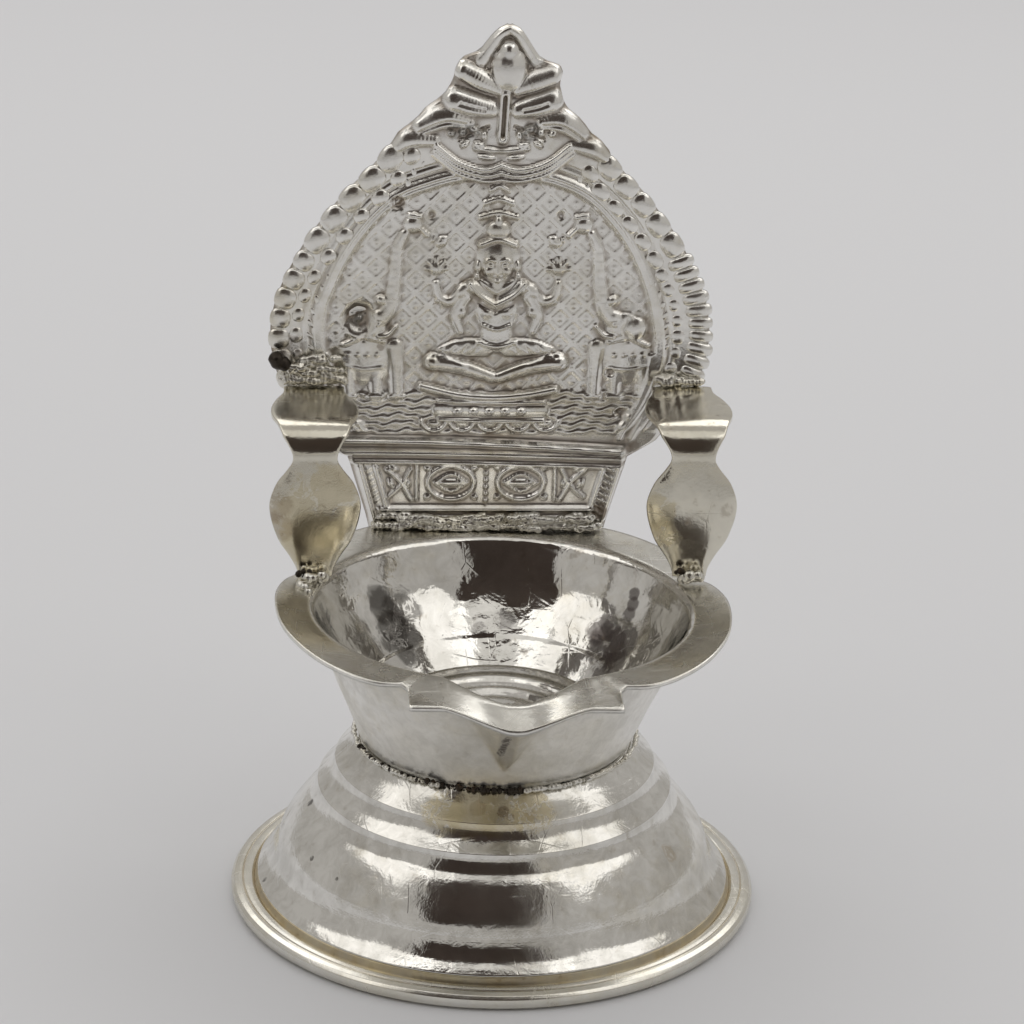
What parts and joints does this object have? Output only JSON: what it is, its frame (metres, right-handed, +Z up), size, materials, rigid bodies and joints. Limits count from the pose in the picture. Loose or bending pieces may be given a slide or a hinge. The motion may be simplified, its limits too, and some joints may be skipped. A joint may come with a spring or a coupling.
{
  "type": "standing oil lamp",
  "caption": "Small silver oil lamp: stepped foot, open bowl with a pinched wick spout and lobed flange, and a stamped arched back plate held by bent strips.",
  "frame": {"origin": "centre of the foot's underside, on the table", "axes": "+Z up, the wick spout points along -Y and the back plate stands on the +Y side, +X to the lamp's right as seen from the front"},
  "size_m": [0.057, 0.057, 0.0911],
  "materials": {
    "polished_silver": "polished silver with fine turning lines and light tarnish in the grooves",
    "satin_silver": "satin silver outside, polished inside the cup",
    "stamped_silver": "bright stamped silver, darker in the recesses of the relief",
    "silver_solder": "rough hard silver solder with dark flux specks"
  },
  "bodies": {
    "root": {"foot_ring": "polished_silver", "foot_shell": "polished_silver", "bowl": "satin_silver", "bowl_seam_solder": "silver_solder", "back_plate": "stamped_silver", "plate_foot_solder": "silver_solder", "left_pillar": "polished_silver", "left_pillar_foot_solder": "silver_solder", "left_pillar_top_solder": "silver_solder", "right_pillar": "polished_silver", "right_pillar_foot_solder": "silver_solder", "right_pillar_top_solder": "silver_solder"}
  },
  "joints": []
}
